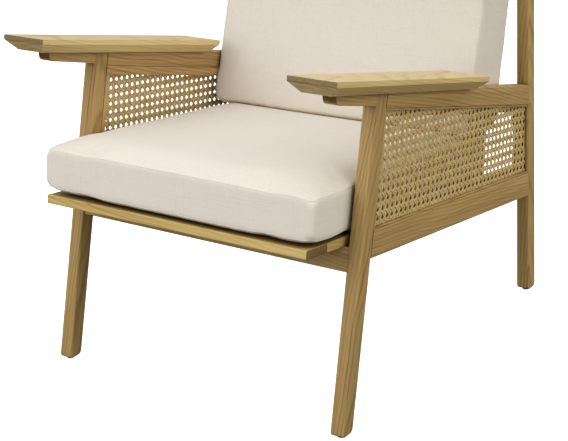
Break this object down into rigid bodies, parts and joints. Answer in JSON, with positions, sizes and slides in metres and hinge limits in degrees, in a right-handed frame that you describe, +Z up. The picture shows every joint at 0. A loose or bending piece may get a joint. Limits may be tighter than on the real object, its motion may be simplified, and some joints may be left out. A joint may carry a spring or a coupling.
{
  "type": "planters chair",
  "caption": "Wooden lounge chair with raked front legs, sloping paddle arms, cane webbed sides and two loose cushions.",
  "frame": {"origin": "on the floor under the middle of the chair's outer box", "axes": "+Z up, +X to the viewer's right when facing the chair, the front faces -Y"},
  "size_m": [0.723, 0.7772, 0.8123],
  "materials": {
    "frame_wood": "satin oiled",
    "pale_wood": "satin oiled",
    "cane": "woven cane, matt",
    "linen": "coarse linen weave",
    "glide": "matt"
  },
  "bodies": {
    "frame": {"arm_board_left": "pale_wood", "arm_board_right": "pale_wood", "arm_rail_left": "frame_wood", "arm_rail_right": "frame_wood", "back_slat_1": "frame_wood", "back_slat_2": "frame_wood", "back_slat_3": "frame_wood", "back_slat_4": "frame_wood", "back_stile_left": "frame_wood", "back_stile_right": "frame_wood", "cane_bead_bottom_left": "frame_wood", "cane_bead_bottom_right": "frame_wood", "cane_bead_front_left": "frame_wood", "cane_bead_front_right": "frame_wood", "cane_bead_rear_left": "frame_wood", "cane_bead_rear_right": "frame_wood", "cane_bead_top_left": "frame_wood", "cane_bead_top_right": "frame_wood", "cane_lip_bottom_left": "frame_wood", "cane_lip_bottom_right": "frame_wood", "cane_lip_front_left": "frame_wood", "cane_lip_front_right": "frame_wood", "cane_lip_rear_left": "frame_wood", "cane_lip_rear_right": "frame_wood", "cane_lip_top_left": "frame_wood", "cane_lip_top_right": "frame_wood", "cane_panel_left": "cane", "cane_panel_right": "cane", "crest_rail": "frame_wood", "front_apron": "frame_wood", "front_leg_left": "frame_wood", "front_leg_right": "frame_wood", "glide_front_left": "glide", "glide_front_right": "glide", "glide_rear_left": "glide", "glide_rear_right": "glide", "rear_cross_rail": "frame_wood", "rear_post_left": "frame_wood", "rear_post_right": "frame_wood", "seat_cleat_left": "frame_wood", "seat_cleat_right": "frame_wood", "seat_front_board": "pale_wood", "seat_rear_board": "frame_wood", "seat_side_board_left": "pale_wood", "seat_side_board_right": "pale_wood", "seat_slat_1": "frame_wood", "seat_slat_2": "frame_wood", "seat_slat_3": "frame_wood", "seat_slat_4": "frame_wood", "seat_slat_5": "frame_wood", "side_rail_left": "frame_wood", "side_rail_right": "frame_wood"},
    "seat_pad": {"seat_cushion": "linen"},
    "back_pad": {"back_cushion": "linen"}
  },
  "joints": [
    {"name": "seat_cushion_draw", "type": "slide", "parent": "frame", "child": "seat_pad", "axis": [0, -0.9904, 0.138], "range_m": [0, 0.15]},
    {"name": "back_cushion_lift", "type": "slide", "parent": "frame", "child": "back_pad", "axis": [0, 0.2549, 0.967], "range_m": [0, 0.2]}
  ]
}
